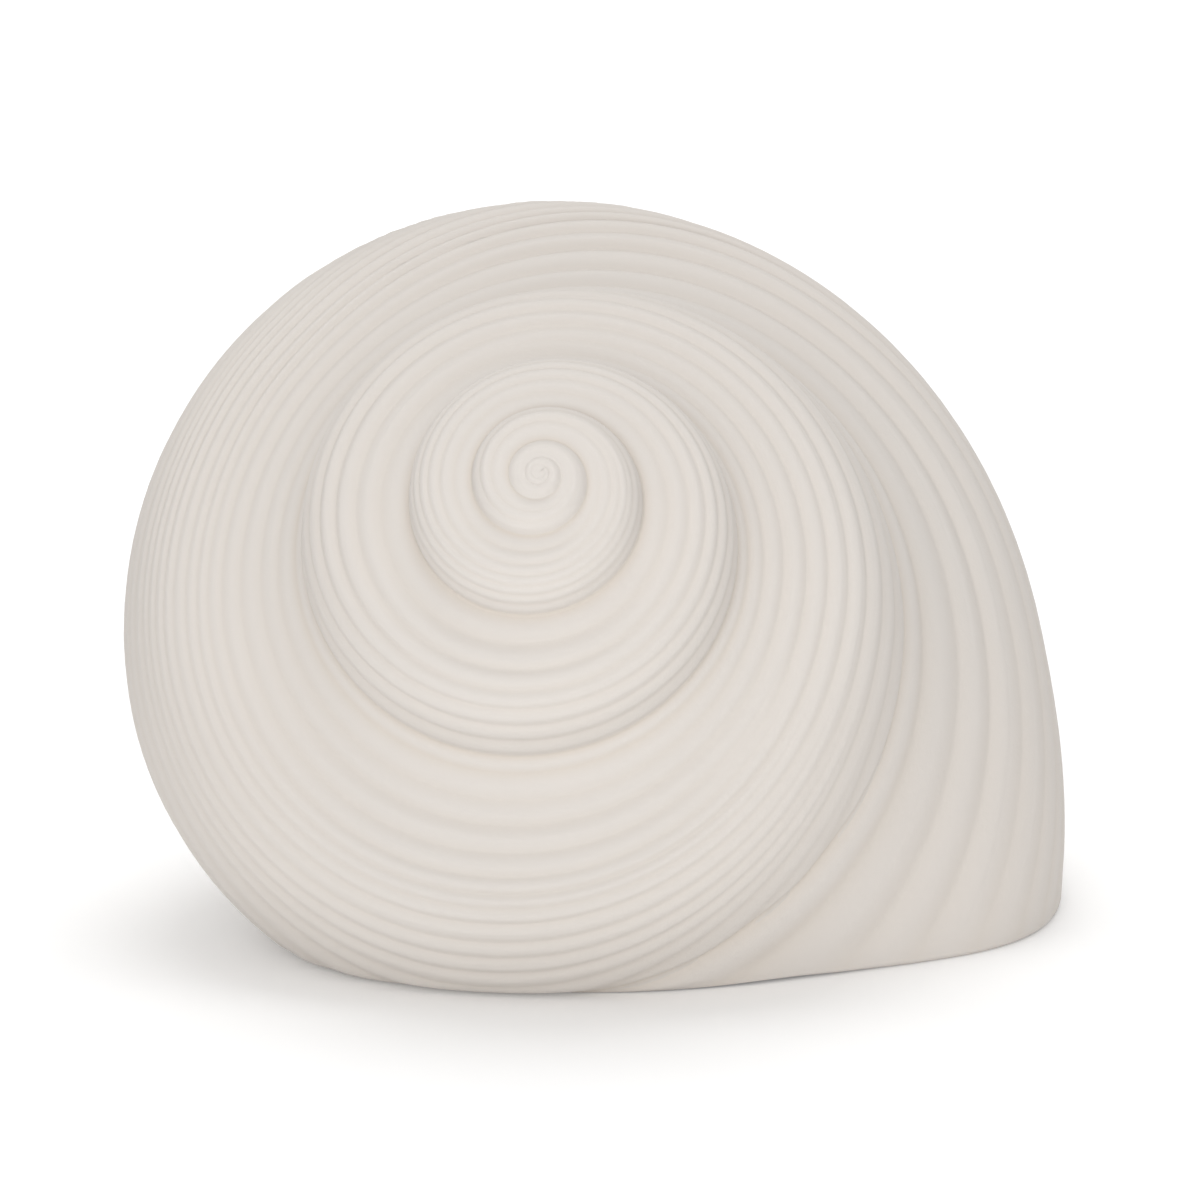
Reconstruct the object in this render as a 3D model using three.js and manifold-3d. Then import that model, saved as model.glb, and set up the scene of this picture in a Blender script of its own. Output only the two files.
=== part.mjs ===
import * as THREE from 'three';
import { mergeVertices } from 'three/addons/utils/BufferGeometryUtils.js';
import Module from 'manifold-3d';

// Seam between the whorls: its radius and depth below the apex where turn is 0, and how both grow per turn.
const seamRadius = 66.8;
const seamDepth = 69.6;
const radiusGrowth = 1.892;
const depthGrowth = 2.023;
const radiusEase = -0.0097;
const depthEase = -0.0182;
const radiusCurl = -0.0031;
const depthCurl = 0.0488;
const youngTurn = -2.2;
const youngGrowth = 0.2;

// Growth runs from the apex, past turn 0, to the mouth.
const apexTurn = -4.4;
const mouthTurn = 0.36;
const stepsPerTurn = 36;

// Whorl outline between two seams, as shares of their distance: along the chord and out from it.
// The spire's outline passes into the last whorl's between the two turns given.
const spireShoulder = new THREE.Vector2(0.36, 0.25);
const spireFlank = new THREE.Vector2(0.46, 0.42);
const lastShoulder = new THREE.Vector2(0.432, 0.024);
const lastFlank = new THREE.Vector2(0.364, 0.392);
const changeFrom = -1.7;
const changeTo = -0.5;

// Base of the last whorl, from the lower seam to the pillar at the axis.
const baseReach = 0.79;
const baseShelf = 0.62;
const baseDepth = 2.1;
const pillarShare = 0.05;
const baseEnd = 1.95;

// The last half turn drops and draws in, then spreads at the lip.
const dropStart = -0.5;
const drop = 80;
const drawIn = 0.205;
const drawFrom = -0.25;
const drawTo = 0.12;
const spread = 0.115;
const spreadFrom = 0.09;
const spreadTo = 0.27;

// Spiral ribs: each spire rib splits in two at the given turn. Height is a share of a rib's width.
const sideRibs = 12;
const baseRibs = 10;
const splitTurn = -1.2;
const ribHeight = 0.17;

// Hollow behind the mouth.
const wall = 6;
const hollowTurns = 0.55;
const hollowSteps = 36;

// Attitude on the table, in degrees, and the height of the apex over it.
const apexLift = 26.96;
const apexSwing = -3.17;
const spin = 42.01;
const apexHeight = 114.7;

// The belly is pressed flatter near the table: it nears the given level, which lies under the table top.
// The last turn is free of this past the given station, so that its lip runs straight down to the table.
const pressStart = 2.5;
const pressLevel = -0.01;
const pressFadeFrom = -0.4;
const pressFadeTo = -0.1;
const freeStation = 0.15;

const clayColour = 0xdcd5cc;

const attitude = new THREE.Matrix4()
  .makeRotationZ(THREE.MathUtils.degToRad(apexSwing))
  .multiply(new THREE.Matrix4().makeRotationX(THREE.MathUtils.degToRad(90 - apexLift)))
  .multiply(new THREE.Matrix4().makeRotationZ(THREE.MathUtils.degToRad(spin)))
  .setPosition(0, 0, apexHeight);

function seam(turn) {
  const radiusPower = turn * Math.log(radiusGrowth) + radiusEase * turn ** 2 + radiusCurl * turn ** 3;
  const depthPower = turn * Math.log(depthGrowth) + depthEase * turn ** 2 + depthCurl * turn ** 3;
  const young = youngGrowth * Math.min(0, turn - youngTurn);
  return new THREE.Vector2(seamRadius * Math.exp(radiusPower + young), seamDepth * Math.exp(depthPower));
}

// Radius and depth of the whorl surface. Station runs 0 to 1 from seam to seam and 1 to 2 over the base.
function outline(turn, station, lift) {
  const top = seam(turn);
  const low = seam(turn + 1);
  const chord = low.clone().sub(top);
  const out = new THREE.Vector2(chord.y, -chord.x);
  const change = THREE.MathUtils.smoothstep(turn, changeFrom, changeTo);
  const control = (spire, last) => {
    const share = spire.clone().lerp(last, change);
    return top.clone().addScaledVector(chord, share.x).addScaledVector(out, share.y);
  };
  const shoulder = control(spireShoulder, lastShoulder);
  const flank = control(spireFlank, lastFlank);
  let curve = new THREE.CubicBezierCurve(top, shoulder, flank, low);
  if (station > 1) {
    const leave = low.clone().addScaledVector(low.clone().sub(flank), baseReach);
    const shelf = new THREE.Vector2(baseShelf * low.x, baseDepth * low.y);
    const pillar = new THREE.Vector2(pillarShare * low.x, baseDepth * low.y);
    curve = new THREE.CubicBezierCurve(low, leave, shelf, pillar);
  }
  const share = station > 1 ? station - 1 : station;
  const point = curve.getPoint(share);
  const tangent = curve.getTangent(share);
  const rise = lift * ribHeight * chord.length() / sideRibs;
  point.x += tangent.y * rise;
  point.y -= tangent.x * rise;
  const side = Math.min(station, 1);
  const drawn = drawIn * THREE.MathUtils.smoothstep(turn, drawFrom, drawTo);
  const opened = spread * THREE.MathUtils.smoothstep(turn, spreadFrom, spreadTo);
  point.x *= 1 + (opened - drawn) * side;
  point.y += drop * Math.max(0, turn - dropStart) ** 2 * side;
  return point;
}

// A radius and depth at a turn, as a point over the table, pressed to keep the given thickness under it.
function inSpace(point, turn, station, thickness) {
  const angle = -2 * Math.PI * turn;
  const place = new THREE.Vector3(point.x * Math.cos(angle), point.x * Math.sin(angle), -point.y);
  place.applyMatrix4(attitude);
  const height = place.z - thickness - pressLevel;
  if (height < pressStart) {
    const pressed = pressLevel + thickness + pressStart * Math.exp(height / pressStart - 1);
    const late = THREE.MathUtils.smoothstep(turn, pressFadeFrom, pressFadeTo);
    const free = late * THREE.MathUtils.smoothstep(station, 0, freeStation);
    place.z = THREE.MathUtils.lerp(pressed, place.z, free);
  }
  return place;
}

const vertices = [];
const triangles = [];

function addVertex(point) {
  vertices.push(point);
  return vertices.length - 1;
}

function addFan(corners) {
  for (let k = 2; k < corners.length; k += 1) {
    triangles.push([corners[0], corners[k - 1], corners[k]]);
  }
}

// Fills a flat loop, given its corners and their places in the plane.
function fill(loop, flat) {
  const turned = THREE.ShapeUtils.area(flat) < 0;
  for (const [a, b, c] of THREE.ShapeUtils.triangulateShape(flat, [])) {
    const facing = THREE.ShapeUtils.area([flat[a], flat[b], flat[c]]) < 0;
    triangles.push(facing === turned ? [loop[a], loop[b], loop[c]] : [loop[a], loop[c], loop[b]]);
  }
}

function takeSolid(wasm) {
  const mesh = new wasm.Mesh({
    numProp: 3,
    vertProperties: new Float32Array(vertices.flatMap((point) => point.toArray())),
    triVerts: new Uint32Array(triangles.flat()),
  });
  vertices.length = 0;
  triangles.length = 0;
  return new wasm.Manifold(mesh);
}

// Outside: one strip that winds from the apex and meets itself along the seam, then the last turn's base.
function buildOutside(wasm) {
  const steps = Math.round((mouthTurn - apexTurn) * stepsPerTurn);
  const from = steps - stepsPerTurn;
  const low = 2 * sideRibs;
  const end = low + 2 * baseRibs;
  const turnAt = (i) => mouthTurn + (i - steps) / stepsPerTurn;
  const flat = [];
  const put = (i, j) => {
    const turn = turnAt(i);
    const station = j <= low ? j / low : 1 + (baseEnd - 1) * (j - low) / (end - low);
    let lift = j % 2 === 1 ? 0.5 : -0.5;
    if (turn < splitTurn) {
      lift = j % 4 === 2 ? 1 : -1;
    }
    const point = outline(turn, station, j === 0 || j === low || j === end ? 0 : lift);
    const index = addVertex(inSpace(point, turn, station, 0));
    flat[index] = point;
    return index;
  };
  const grid = [];
  for (let i = 0; i <= steps; i += 1) {
    grid.push([]);
    for (let j = 0; j < low; j += turnAt(i) < splitTurn ? 2 : 1) {
      grid[i][j] = put(i, j);
    }
  }
  for (let i = 0; i <= steps; i += 1) {
    const below = i + stepsPerTurn;
    grid[i][low] = below <= steps ? grid[below][0] : put(i, low);
  }
  for (let i = from; i <= steps; i += 1) {
    for (let j = low + 1; j <= end; j += 1) {
      grid[i][j] = put(i, j);
    }
  }
  const known = (index) => index !== undefined;
  for (let i = 0; i < steps; i += 1) {
    const near = grid[i];
    const far = grid[i + 1];
    for (let j = 0; j < (i < from ? low : end); j += 2) {
      if (known(near[j + 1])) {
        addFan([near[j], far[j], far[j + 1], near[j + 1]]);
        addFan([near[j + 1], far[j + 1], far[j + 2], near[j + 2]]);
      } else {
        addFan([near[j], ...far.slice(j, j + 3).filter(known), near[j + 2]]);
      }
    }
  }
  // The tip of the apex and the end of the pillar.
  const tip = addVertex(inSpace(new THREE.Vector2(), apexTurn, 0, 0));
  for (let i = 0; i < stepsPerTurn; i += 1) {
    addFan([tip, grid[i + 1][0], grid[i][0]]);
  }
  for (let j = 0; j < low; j += 2) {
    addFan([tip, grid[0][j], grid[0][j + 2]]);
  }
  const middle = new THREE.Vector2(0, outline(mouthTurn - 0.5, baseEnd, 0).y);
  const pillar = addVertex(inSpace(middle, mouthTurn, baseEnd, 0));
  flat[pillar] = middle;
  for (let i = from; i < steps; i += 1) {
    addFan([pillar, grid[i][end], grid[i + 1][end]]);
  }
  // The mouth, closed flat.
  const loop = [...grid[steps]].reverse();
  loop.push(...grid[from].slice(low + 1), pillar);
  fill(loop, loop.map((index) => flat[index]));
  return takeSolid(wasm);
}

// Hollow: the room between the last whorl and the one before it, drawn in by the wall.
function buildHollow(wasm) {
  const outer = [0.12, 0.3, 0.45, 0.6, 0.75, 0.9, 1.1, 1.3, 1.5, 1.7, 1.9];
  const inner = [1.85, 1.6, 1.35, 1.15];
  const count = Math.round(hollowTurns * hollowSteps);
  const rings = [];
  const flats = [];
  for (let i = 0; i <= count; i += 1) {
    const turn = mouthTurn + 0.02 + (i - count) / hollowSteps;
    const ring = [
      ...outer.map((station) => outline(turn, station, 0)),
      ...inner.map((station) => outline(turn - 1, station, 0)),
    ];
    const stations = [...outer, ...inner];
    const middle = ring.reduce((sum, point) => sum.add(point), new THREE.Vector2()).divideScalar(ring.length);
    for (const point of ring) {
      point.lerp(middle, Math.min(0.8, wall / point.distanceTo(middle)));
    }
    flats.push(ring);
    rings.push(ring.map((point, k) => addVertex(inSpace(point, turn, stations[k], wall))));
  }
  const size = rings[0].length;
  for (let i = 0; i < count; i += 1) {
    for (let j = 0; j < size; j += 1) {
      const k = (j + 1) % size;
      addFan([rings[i][j], rings[i + 1][j], rings[i + 1][k], rings[i][k]]);
    }
  }
  fill(rings[0], flats[0]);
  fill([...rings[count]].reverse(), [...flats[count]].reverse());
  return takeSolid(wasm);
}

const wasm = await Module();
wasm.setup();

// The shell stands mouth down, and what lies below the table top is taken off.
const slab = new THREE.BoxGeometry(1000, 1000, 400).translate(0, 0, -200);
slab.deleteAttribute('normal');
slab.deleteAttribute('uv');
const joined = mergeVertices(slab);
const under = new wasm.Manifold(new wasm.Mesh({
  numProp: 3,
  vertProperties: new Float32Array(joined.attributes.position.array),
  triVerts: new Uint32Array(joined.index.array),
}));
const solid = buildOutside(wasm).subtract(buildHollow(wasm)).subtract(under).getMesh();

const geometry = new THREE.BufferGeometry();
geometry.setAttribute('position', new THREE.BufferAttribute(solid.vertProperties, 3));
geometry.setIndex(new THREE.BufferAttribute(solid.triVerts, 1));
geometry.computeBoundingBox();
const { min, max } = geometry.boundingBox;
geometry.translate(-(min.x + max.x) / 2, -(min.y + max.y) / 2, 0);
geometry.computeVertexNormals();

const clay = new THREE.MeshStandardMaterial({ color: clayColour, roughness: 0.9, metalness: 0 });
const shell = new THREE.Mesh(geometry, clay);
shell.name = 'shell';

const part = new THREE.Group();
part.name = 'bonnet_shell';
part.add(shell);

export default part;
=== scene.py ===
import math

import bpy
import numpy as np
from mathutils import Matrix, Vector


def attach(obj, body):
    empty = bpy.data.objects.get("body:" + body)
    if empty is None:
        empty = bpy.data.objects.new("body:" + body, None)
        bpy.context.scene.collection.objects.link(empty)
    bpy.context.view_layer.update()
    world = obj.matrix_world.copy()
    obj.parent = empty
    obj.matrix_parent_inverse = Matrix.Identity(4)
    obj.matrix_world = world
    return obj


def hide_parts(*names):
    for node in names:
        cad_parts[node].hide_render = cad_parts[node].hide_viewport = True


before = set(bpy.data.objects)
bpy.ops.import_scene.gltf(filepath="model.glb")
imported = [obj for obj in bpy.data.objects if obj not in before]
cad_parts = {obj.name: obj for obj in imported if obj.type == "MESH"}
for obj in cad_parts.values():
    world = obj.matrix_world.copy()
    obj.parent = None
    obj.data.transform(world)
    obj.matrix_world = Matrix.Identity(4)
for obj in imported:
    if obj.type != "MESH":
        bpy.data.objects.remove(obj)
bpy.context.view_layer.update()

# Growth of the seam between the whorls, in millimetres and turns.
SEAM_RADIUS = 66.8
SEAM_DEPTH = 69.6
RADIUS_GROWTH = (math.log(1.892), -0.0097, -0.0031)
DEPTH_GROWTH = (math.log(2.023), -0.0182, 0.0488)
YOUNG_TURN = -2.2
YOUNG_GROWTH = 0.2
APEX_TURN = -6.0
MOUTH_TURN = 0.36

# Whorl outline: shoulder and flank, along the chord between two seams and out from it, as shares of it.
# The spire's outline passes into the last whorl's between the two turns of CHANGE.
SPIRE = ((0.36, 0.25), (0.46, 0.42))
LAST = ((0.432, 0.024), (0.364, 0.392))
CHANGE = (-1.7, -0.5)

# Base of the last whorl, from the lower seam to the pillar at the axis.
BASE_REACH = 0.79
BASE_SHELF = 0.62
BASE_DEPTH = 2.1
PILLAR_SHARE = 0.05
BASE_END = 1.95

# The last half turn drops and draws in, then spreads at the lip.
DROP_START = -0.5
DROP = 80.0
DRAW_IN = 0.205
DRAW = (-0.25, 0.12)
SPREAD_OUT = 0.115
SPREAD = (0.09, 0.27)

# Attitude on the table, and the press that flattens the belly there.
APEX_LIFT = 26.96
APEX_SWING = -3.17
SPIN = 42.01
APEX_PLACE = (-13.215, -141.955, 114.7)
PRESS_START = 2.5
PRESS_LEVEL = -0.01
PRESS_FADE = (-0.4, -0.1)
FREE_STATION = 0.15

# Ribs of the last whorl: the stations of its grooves before the ribs split and after,
# and the rib width past each list.
EARLY_GROOVES = (0.0, 0.06, 0.14, 0.25, 0.39, 0.53, 0.68, 0.84, 1.0)
EARLY_RIB = 0.16
GROOVES = (0.0, 0.05, 0.14, 0.23, 0.34, 0.444, 0.523, 0.589, 0.66, 0.745, 0.815, 0.88, 0.94, 1.0)
OUTER_RIB = 0.09
SPLIT = (-0.84, -0.68)
# How far the ribs spread from the seam: a start, then changes between two turns.
WAVE_START = 0.78
WAVES = (
    (-0.85, -0.62, 0.22),
    (-0.6, -0.3, -0.34),
    (-0.27, -0.05, 0.46),
    (-0.05, 0.2, 0.2),
)
# Ribs of the spire and of its young part, and the turns over which each kind takes over.
SPIRE_RIBS = 7
YOUNG_RIBS = 3
YOUNG_FADE = (-4.2, -3.2)
SPIRE_FADE = (-3.2, -2.6)
LAST_FADE = (-1.25, -1.0)
# Rib height as a share of rib width, and its factor by turn.
RIB_HEIGHT = 0.14
GROOVE_POWER = 1.15
RELIEF_TURNS = (-2.0, -1.5, -1.0, -0.8, -0.6, -0.4, -0.15, 0.0, 0.1)
RELIEF = (0.78, 1.05, 1.1, 1.05, 1.08, 0.62, 2.2, 1.2, 0.75)
# Ribs are low beside the seam except by the lip, where they fade outwards. They fade on the base too.
LIP_SIDE = (-0.1, 0.05)
SEAM_SIDE = (0.03, 0.25)
SEAM_RELIEF = 0.5
LIP_FADE = (0.3, 0.65)
LIP_LOSS = 0.6
BASE_FADE = (1.45, 1.9)
BASE_LOSS = 0.7
# Slow change of height from rib to rib.
UNEVEN = 0.15
UNEVEN_BY_RIB = 2.4
UNEVEN_BY_TURN = 9.0
# Warmer, darker colour in the grooves, partly a warm stain and partly painted shade: everywhere a little,
# beside the seam more.
STAIN_AND_SHADE = 0.35
STAIN_AND_SHADE_REACH = 0.07

# Dome of the apex, rim of the lip and wall, in millimetres.
DOME = 0.9
DOME_RADIUS = 4.5
RIM = 3.0
RIM_START = 0.15
RIM_CLOSE = 1.75
WALL = 6.0
WALL_TURNS = 0.1
RIB_STOP = 0.02

# Mesh: rows to a turn, columns over side and base, and fewer columns before the given turns.
ROWS = 144
SIDE_COLUMNS = 144
BASE_COLUMNS = 76
BASE_TURNS = 1.7
QUARTER_BEFORE = -2.7
HALF_BEFORE = -1.3
RIM_ROWS = 8
INNER_ROWS = 50
INNER_TURNS = 0.7
RESHAPE = -0.45
EARLIEST_LIP = -0.4
LIP_ROUNDS = 40
SHIFT_END = 1.4

# Light.
WORLD_LIGHT = 0.62
FRONT_LIGHT = 8.0
TOP_LIGHT = 5.2
BACK_LIGHT = 9.0

# Camera: the size of a pixel of the photograph at the apex, in millimetres, half the picture's width
# in pixels, and where the camera stands from the apex, also in pixels.
PIXEL = 0.19557
HALF_FRAME = 600
RIGHT_OF_APEX = 60.56
ABOVE_APEX = -126.22
BEFORE_APEX = 4357
ELEVATION = math.radians(8.49)

METRES = 0.001
TINY = 1e-9

ATTITUDE = np.array(
    Matrix.Rotation(math.radians(APEX_SWING), 3, "Z")
    @ Matrix.Rotation(math.radians(90 - APEX_LIFT), 3, "X")
    @ Matrix.Rotation(math.radians(SPIN), 3, "Z")
)


def smooth(x, low, high):
    t = np.clip((x - low) / (high - low), 0.0, 1.0)
    return t * t * (3.0 - 2.0 * t)


def seam(turn):
    """Radius and depth of the seam."""
    powers = np.stack([turn, turn ** 2, turn ** 3])
    young = YOUNG_GROWTH * np.minimum(0, turn - YOUNG_TURN)
    radius = SEAM_RADIUS * np.exp(np.tensordot(RADIUS_GROWTH, powers, 1) + young)
    depth = SEAM_DEPTH * np.exp(np.tensordot(DEPTH_GROWTH, powers, 1))
    return np.stack([radius, depth], -1)


def bezier(a, b, c, d, t):
    t = t[..., None]
    u = 1.0 - t
    point = u ** 3 * a + 3 * u * u * t * b + 3 * u * t * t * c + t ** 3 * d
    slope = 3 * u * u * (b - a) + 6 * u * t * (c - b) + 3 * t * t * (d - c)
    return point, slope


def crest(phase):
    """0 in a groove and 1 on a crest."""
    return np.abs(np.sin(math.pi * phase)) ** GROOVE_POWER


def phase_from(reach, grooves, outer_width):
    inside = np.interp(reach, grooves, np.arange(len(grooves)))
    return inside + np.maximum(0, reach - 1) / outer_width


def wave(turn):
    """How far the ribs of the last whorl spread from the seam at each turn."""
    width = WAVE_START
    for low, high, change in WAVES:
        width = width + change * smooth(turn, low, high)
    return width


def rib(turn, station):
    """Rib height in rib widths, that width as a share of the chord, and the groove colour: partly a stain,
    partly painted shade.
    """
    last = smooth(turn, *LAST_FADE)
    grown = smooth(turn, *SPIRE_FADE)
    young = smooth(turn, *YOUNG_FADE)
    split = smooth(turn, *SPLIT)
    spread = wave(turn)
    reach = station / spread
    order = phase_from(reach, GROOVES, OUTER_RIB)
    early = phase_from(reach, EARLY_GROOVES, EARLY_RIB)
    fine = split * crest(order) + (1 - split) * crest(early)
    spire = grown * crest(SPIRE_RIBS * station) + (1 - grown) * crest(YOUNG_RIBS * station)
    level = last * fine + (1 - last) * spire
    uneven = 1 + UNEVEN * np.sin(UNEVEN_BY_RIB * np.round(order) + UNEVEN_BY_TURN * turn)
    lip_side = smooth(turn, *LIP_SIDE)
    full = np.maximum(smooth(station, *SEAM_SIDE), lip_side)
    strength = uneven * (SEAM_RELIEF + (1 - SEAM_RELIEF) * full) * young
    strength = strength * (1 - LIP_LOSS * lip_side * smooth(station, *LIP_FADE))
    strength = strength * np.interp(turn, RELIEF_TURNS, RELIEF)
    strength = strength * (1 - BASE_LOSS * smooth(station, *BASE_FADE))
    count = split * len(GROOVES) + (1 - split) * len(EARLY_GROOVES)
    spire_width = grown / SPIRE_RIBS + (1 - grown) / YOUNG_RIBS
    width = last * spread / count + (1 - last) * spire_width
    # Darker, warmer groove colour, partly a stain and partly painted shade: a little in every groove, more
    # beside the seam.
    by_seam = np.exp(-(station / STAIN_AND_SHADE_REACH) ** 2)
    stain_and_shade = (1 - level) * young * (STAIN_AND_SHADE + (1 - STAIN_AND_SHADE) * by_seam)
    return (level - 0.5) * strength, width, stain_and_shade


def surface(turn, station, inset, ribs):
    """Points of the whorl surface over the table, in millimetres, and their groove colour: partly a stain,
    partly painted shade.
    """
    turn, station, inset = np.broadcast_arrays(np.asarray(turn, float), station, inset)
    top = seam(turn)
    low = seam(turn + 1)
    chord = low - top
    out = np.stack([chord[..., 1], -chord[..., 0]], -1)
    change = smooth(turn, *CHANGE)[..., None]
    control = []
    for spire, last in zip(SPIRE, LAST):
        share = np.array(spire) * (1 - change) + np.array(last) * change
        control.append(top + chord * share[..., :1] + out * share[..., 1:])
    shoulder, flank = control
    side, side_slope = bezier(top, shoulder, flank, low, np.clip(station, 0, 1))
    leave = low + (low - flank) * BASE_REACH
    shelf = low * np.array([BASE_SHELF, BASE_DEPTH])
    pillar = low * np.array([PILLAR_SHARE, BASE_DEPTH])
    base, base_slope = bezier(low, leave, shelf, pillar, np.clip(station - 1, 0, 1))
    on_base = (station > 1)[..., None]
    point = np.where(on_base, base, side)
    slope = np.where(on_base, base_slope, side_slope)
    slope = slope / np.maximum(np.linalg.norm(slope, axis=-1, keepdims=True), TINY)
    height, width, stain_and_shade = rib(turn, station)
    rise = ribs * RIB_HEIGHT * np.linalg.norm(chord, axis=-1) * width * height - inset
    radius = point[..., 0] + slope[..., 1] * rise
    down = point[..., 1] - slope[..., 0] * rise
    edge = np.minimum(station, 1.0)
    opened = SPREAD_OUT * smooth(turn, *SPREAD) - DRAW_IN * smooth(turn, *DRAW)
    radius = radius * (1 + opened * edge)
    down = down + DROP * np.maximum(0, turn - DROP_START) ** 2 * edge
    down = down - DOME * np.maximum(0, 1 - (radius / DOME_RADIUS) ** 2)
    angle = -2 * math.pi * turn
    place = np.stack([radius * np.cos(angle), radius * np.sin(angle), -down], -1)
    place = place @ ATTITUDE.T + np.array(APEX_PLACE)
    level = PRESS_LEVEL + inset
    over = place[..., 2] - level
    near_table = PRESS_START * np.exp(np.minimum(over, PRESS_START) / PRESS_START - 1)
    pressed = np.where(over < PRESS_START, near_table, over)
    keep = smooth(turn, *PRESS_FADE) * smooth(station, 0.0, FREE_STATION)
    place[..., 2] = level + over * keep + pressed * (1 - keep)
    return place, stain_and_shade


def over_table(points):
    points[..., 2] = np.maximum(points[..., 2], 0.0)
    return points


# Stations run from 0 to 1 between the seams and past 1 over the base. LOW is the lower seam's column.
LOW = SIDE_COLUMNS
END = LOW + BASE_COLUMNS
on_side = np.arange(LOW + 1) / LOW
past_side = 1 + (BASE_END - 1) * np.arange(1, BASE_COLUMNS + 1) / BASE_COLUMNS
stations = np.concatenate([on_side, past_side])

# The lip: where the last whorl meets the table, found station by station.
closing = 1 - smooth(stations, RIM_CLOSE, BASE_END)
rim = RIM * smooth(stations, 0.0, RIM_START) * closing
lip = np.full(END + 1, EARLIEST_LIP)
far = np.full(END + 1, MOUTH_TURN)
for _ in range(LIP_ROUNDS):
    half = (lip + far) / 2
    above = surface(half, stations, 0.0, 0.0)[0][:, 2] > rim / 2
    lip = np.where(above, half, lip)
    far = np.where(above, far, half)

# The turn of every point: the last rows lean towards the lip.
steps = round((MOUTH_TURN - APEX_TURN) * ROWS)
plain = MOUTH_TURN + (np.arange(steps + 1) - steps) / ROWS
turns = np.repeat(plain[:, None], END + 1, 1)
along = np.clip((plain - RESHAPE) / (MOUTH_TURN - RESHAPE), 0, 1)[:, None]
turns = turns + (lip[None, :] - MOUTH_TURN) * along
# Where the strip meets its next turn, it takes that turn's rows.
shift = np.zeros(steps + 1)
shift[:-ROWS] = turns[ROWS:, 0] - 1 - plain[:-ROWS]
to_seam = np.where(stations <= 1, smooth(stations, 0.0, 1.0), 1 - smooth(stations, 1.0, SHIFT_END))
turns = turns + shift[:, None] * to_seam

vertices = []
stain_and_shade_values = []
faces = []


def add(points, stain_and_shade):
    first = len(vertices)
    vertices.extend(map(tuple, points))
    stain_and_shade_values.extend(stain_and_shade)
    return np.arange(first, first + len(points))


def fan(corners):
    for k in range(2, len(corners)):
        faces.append((corners[0], corners[k - 1], corners[k]))


def strip(near, far):
    for j in range(len(near) - 1):
        faces.append((near[j], far[j], far[j + 1], near[j + 1]))


# Outside: one strip that winds from the apex and meets itself along the seam, then the base.
ribs = smooth(lip[None, :] - turns, 0.0, RIB_STOP)
points, stain_and_shade = surface(turns, stations[None, :], 0.0, ribs)
points = over_table(points)
grid = np.full((steps + 1, END + 1), -1)
base_from = steps - round(BASE_TURNS * ROWS)
spacing = np.where(plain < QUARTER_BEFORE, 4, np.where(plain < HALF_BEFORE, 2, 1))
for i in range(steps + 1):
    use = np.arange(0, LOW, spacing[i])
    grid[i, use] = add(points[i, use], stain_and_shade[i, use])
for i in range(steps + 1):
    if i + ROWS <= steps:
        grid[i, LOW] = grid[i + ROWS, 0]
    else:
        grid[i, LOW] = add(points[i, LOW:LOW + 1], stain_and_shade[i, LOW:LOW + 1])[0]
for i in range(base_from, steps + 1):
    use = np.arange(LOW + 1, END + 1)
    grid[i, use] = add(points[i, use], stain_and_shade[i, use])
for i in range(steps):
    wide, narrow = spacing[i], spacing[i + 1]
    if wide == narrow:
        strip(grid[i, :LOW + 1:wide], grid[i + 1, :LOW + 1:wide])
    else:
        for j in range(0, LOW, wide):
            fan([grid[i, j], *grid[i + 1, j:j + wide + 1:narrow], grid[i, j + wide]])
    if i >= base_from:
        strip(grid[i, LOW:], grid[i + 1, LOW:])

# The tip of the apex and the end of the pillar.
tip = add([np.array(APEX_PLACE) + ATTITUDE[:, 2] * DOME], [0.0])[0]
for i in range(ROWS):
    fan([tip, grid[i + 1, 0], grid[i, 0]])
for j in range(0, LOW, spacing[0]):
    fan([tip, grid[0, j], grid[0, j + spacing[0]]])
pillar = add([points[steps - ROWS:, END].mean(0)], [0.0])[0]
for i in range(steps - ROWS, steps):
    fan([pillar, grid[i, END], grid[i + 1, END]])

# The rim of the lip, then the inside skin.
plain_row = np.zeros(END + 1)
row = grid[steps]
edge = points[steps]
inside = surface(turns[steps], stations, rim, 0.0)[0]
forward = points[steps] - points[steps - 2]
forward /= np.maximum(np.linalg.norm(forward, axis=1, keepdims=True), TINY)
for k in range(1, RIM_ROWS):
    angle = math.pi * k / RIM_ROWS
    across = (inside - edge) * (1 - math.cos(angle)) / 2
    bulge = forward * (rim[:, None] / 2 * math.sin(angle))
    next_row = add(over_table(edge + across + bulge), plain_row)
    strip(row, next_row)
    row = next_row
for k in range(INNER_ROWS + 1):
    back = INNER_TURNS * k / INNER_ROWS
    thick = rim + (WALL * closing - rim) * smooth(back, 0.0, WALL_TURNS)
    inner = surface(turns[steps] - back, stations, thick, 0.0)[0]
    next_row = add(over_table(inner), plain_row)
    strip(row, next_row)
    row = next_row
deep_end = add([np.mean([vertices[j] for j in row], 0)], [0.0])[0]
for j in range(END):
    fan([deep_end, row[j + 1], row[j]])

mesh = bpy.data.meshes.new("shell_skin")
mesh.from_pydata(
    [tuple(float(c) * METRES for c in vertex) for vertex in vertices],
    [],
    [tuple(int(k) for k in face) for face in faces],
)
# The groove attribute carries the groove colour, partly a stain and partly painted shade.
attribute = mesh.attributes.new("groove", "FLOAT", "POINT")
attribute.data.foreach_set("value", np.array(stain_and_shade_values, np.float32))
mesh.polygons.foreach_set("use_smooth", [True] * len(mesh.polygons))
mesh.update()
skin = bpy.data.objects.new("shell_skin", mesh)
bpy.context.scene.collection.objects.link(skin)
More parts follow.
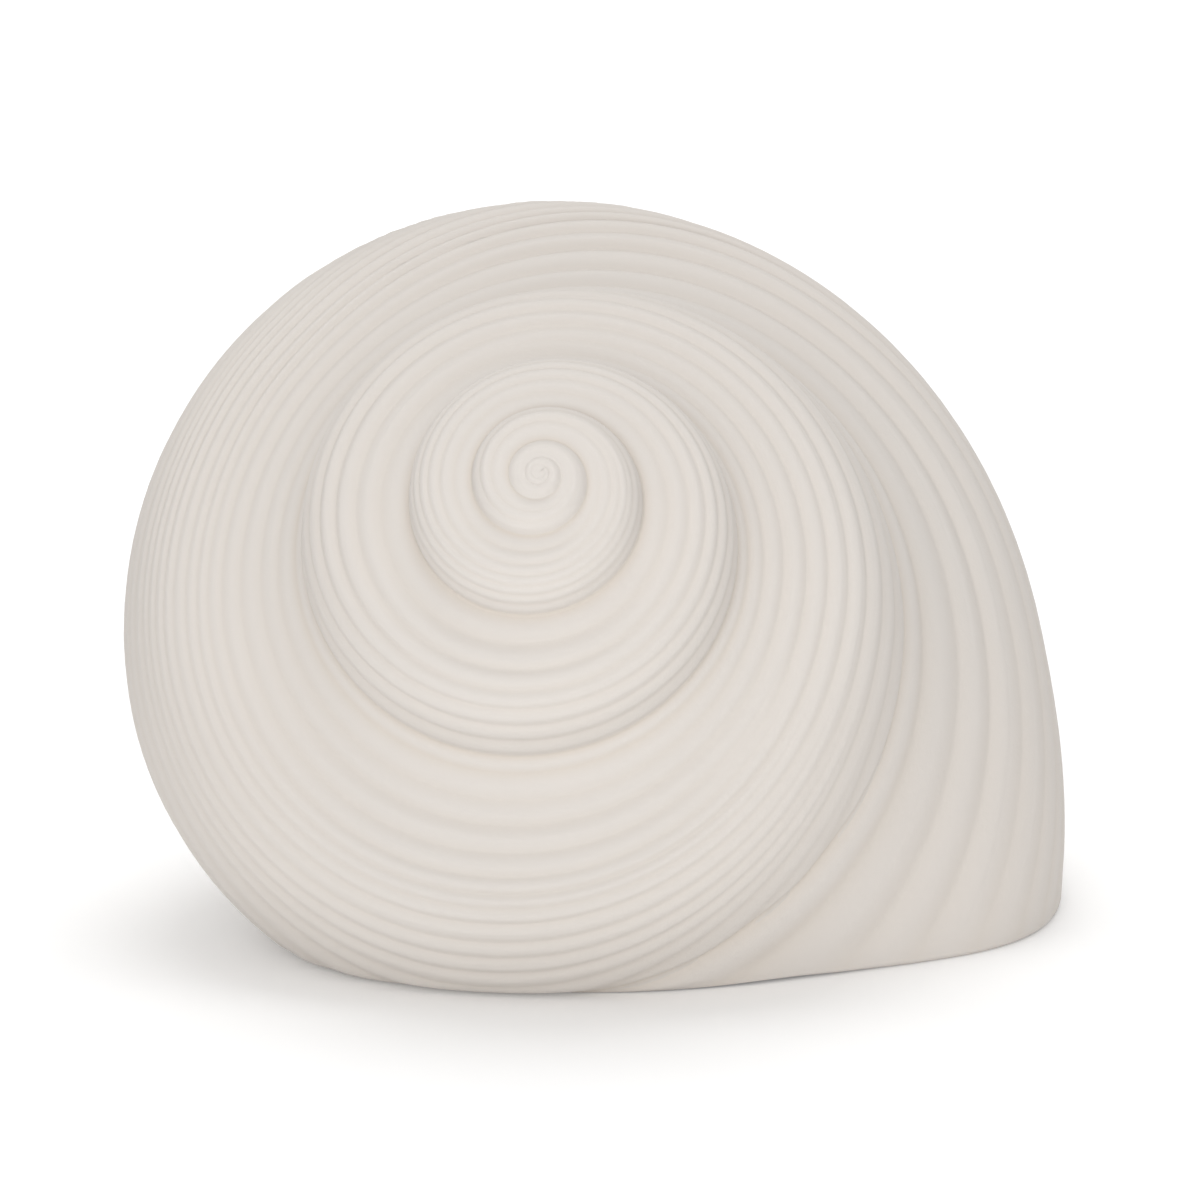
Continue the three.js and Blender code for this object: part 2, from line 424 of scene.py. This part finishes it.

# Matt off-white body with faint warm patches, a fine grain, and warmer, darker grooves that are partly a
# stain and partly painted shade.
clay = bpy.data.materials.new("matt_clay")
clay.use_nodes = True
nodes = clay.node_tree.nodes
links = clay.node_tree.links
shader = nodes["Principled BSDF"]
shader.inputs["Specular IOR Level"].default_value = 0.25
coordinates = nodes.new("ShaderNodeTexCoord")
patches = nodes.new("ShaderNodeTexNoise")
patches.inputs["Scale"].default_value = 16
patches.inputs["Detail"].default_value = 3
links.new(coordinates.outputs["Object"], patches.inputs["Vector"])
warm = nodes.new("ShaderNodeMix")
warm.data_type = "RGBA"
warm.inputs["A"].default_value = (0.655, 0.622, 0.587, 1)
warm.inputs["B"].default_value = (0.65, 0.606, 0.565, 1)
links.new(patches.outputs["Fac"], warm.inputs["Factor"])
held = nodes.new("ShaderNodeAttribute")
held.attribute_name = "groove"
# Groove colour, partly a warm stain and partly painted shade in the grooves and beside the seam.
stain_and_shade_mix = nodes.new("ShaderNodeMix")
stain_and_shade_mix.data_type = "RGBA"
stain_and_shade_mix.inputs["B"].default_value = (0.615, 0.56, 0.5, 1)
links.new(warm.outputs["Result"], stain_and_shade_mix.inputs["A"])
links.new(held.outputs["Fac"], stain_and_shade_mix.inputs["Factor"])
links.new(stain_and_shade_mix.outputs["Result"], shader.inputs["Base Color"])
grain = nodes.new("ShaderNodeTexNoise")
grain.inputs["Scale"].default_value = 700
grain.inputs["Detail"].default_value = 2
links.new(coordinates.outputs["Object"], grain.inputs["Vector"])
worn = nodes.new("ShaderNodeMapRange")
worn.inputs["To Min"].default_value = 0.78
worn.inputs["To Max"].default_value = 0.92
links.new(patches.outputs["Fac"], worn.inputs["Value"])
links.new(worn.outputs["Result"], shader.inputs["Roughness"])
bump = nodes.new("ShaderNodeBump")
bump.inputs["Strength"].default_value = 0.25
bump.inputs["Distance"].default_value = 0.0002
links.new(grain.outputs["Fac"], bump.inputs["Height"])
links.new(bump.outputs["Normal"], shader.inputs["Normal"])
mesh.materials.append(clay)

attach(skin, "root")
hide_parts("shell")

# Plain pale floor that sweeps up behind, in metres.
FLOOR_FRONT = -5.0
BEND_START = 0.8
BEND_RADIUS = 1.2
BEND_STEPS = 12
WALL_HEIGHT = 5.0
HALF_WIDTH = 6.0
sweep = [(FLOOR_FRONT, 0.0), (BEND_START, 0.0)]
for k in range(1, BEND_STEPS + 1):
    angle = k * math.pi / (2 * BEND_STEPS)
    sweep.append((BEND_START + BEND_RADIUS * math.sin(angle), BEND_RADIUS - BEND_RADIUS * math.cos(angle)))
sweep.append((BEND_START + BEND_RADIUS, WALL_HEIGHT))
floor_mesh = bpy.data.meshes.new("floor")
floor_mesh.from_pydata(
    [(x, y, z) for y, z in sweep for x in (-HALF_WIDTH, HALF_WIDTH)],
    [],
    [(2 * k, 2 * k + 1, 2 * k + 3, 2 * k + 2) for k in range(len(sweep) - 1)],
)
floor_mesh.polygons.foreach_set("use_smooth", [True] * len(floor_mesh.polygons))
floor = bpy.data.objects.new("floor", floor_mesh)
bpy.context.scene.collection.objects.link(floor)
paper = bpy.data.materials.new("paper")
paper.use_nodes = True
paper_shader = paper.node_tree.nodes["Principled BSDF"]
paper_shader.inputs["Base Color"].default_value = (0.95, 0.95, 0.95, 1)
paper_shader.inputs["Roughness"].default_value = 0.9
paper_shader.inputs["Specular IOR Level"].default_value = 0.1
paper_shader.inputs["Emission Color"].default_value = (1, 1, 1, 1)
paper_shader.inputs["Emission Strength"].default_value = 0.1
floor_mesh.materials.append(paper)

# Soft light from all round, a large lamp in front, one above and one on the backdrop.
world = bpy.data.worlds.new("studio")
bpy.context.scene.world = world
world.use_nodes = True
sky = world.node_tree.nodes["Background"]
sky.inputs["Color"].default_value = (1, 1, 1, 1)
sky.inputs["Strength"].default_value = WORLD_LIGHT


def lamp(name, place, target, size, power):
    data = bpy.data.lights.new(name, "AREA")
    data.shape = "DISK"
    data.size = size
    data.energy = power
    lit = bpy.data.objects.new(name, data)
    lit.location = place
    lit.rotation_euler = (Vector(target) - Vector(place)).to_track_quat("-Z", "Y").to_euler()
    lit.visible_camera = False
    bpy.context.scene.collection.objects.link(lit)


lamp("front", (-0.1, -1.4, 0.25), (0, 0, 0.07), 0.9, FRONT_LIGHT)
lamp("above", (0, 0, 1.4), (0, 0, 0.07), 0.9, TOP_LIGHT)
lamp("behind", (0, 0.9, 1.7), (0, 2.0, 0.9), 1.2, BACK_LIGHT)

# Camera as the photograph was taken.
camera_data = bpy.data.cameras.new("camera")
camera_data.angle = 2 * math.atan(HALF_FRAME / BEFORE_APEX)
camera_data.clip_end = 20
camera = bpy.data.objects.new("camera", camera_data)
place = Vector(APEX_PLACE) + Vector((RIGHT_OF_APEX * PIXEL, 0, 0))
place += ABOVE_APEX * PIXEL * Vector((0, math.sin(ELEVATION), math.cos(ELEVATION)))
place += BEFORE_APEX * PIXEL * Vector((0, -math.cos(ELEVATION), math.sin(ELEVATION)))
camera.location = place * METRES
camera.rotation_euler = (math.pi / 2 - ELEVATION, 0, 0)
bpy.context.scene.collection.objects.link(camera)
bpy.context.scene.camera = camera
bpy.context.scene.view_settings.view_transform = "Standard"
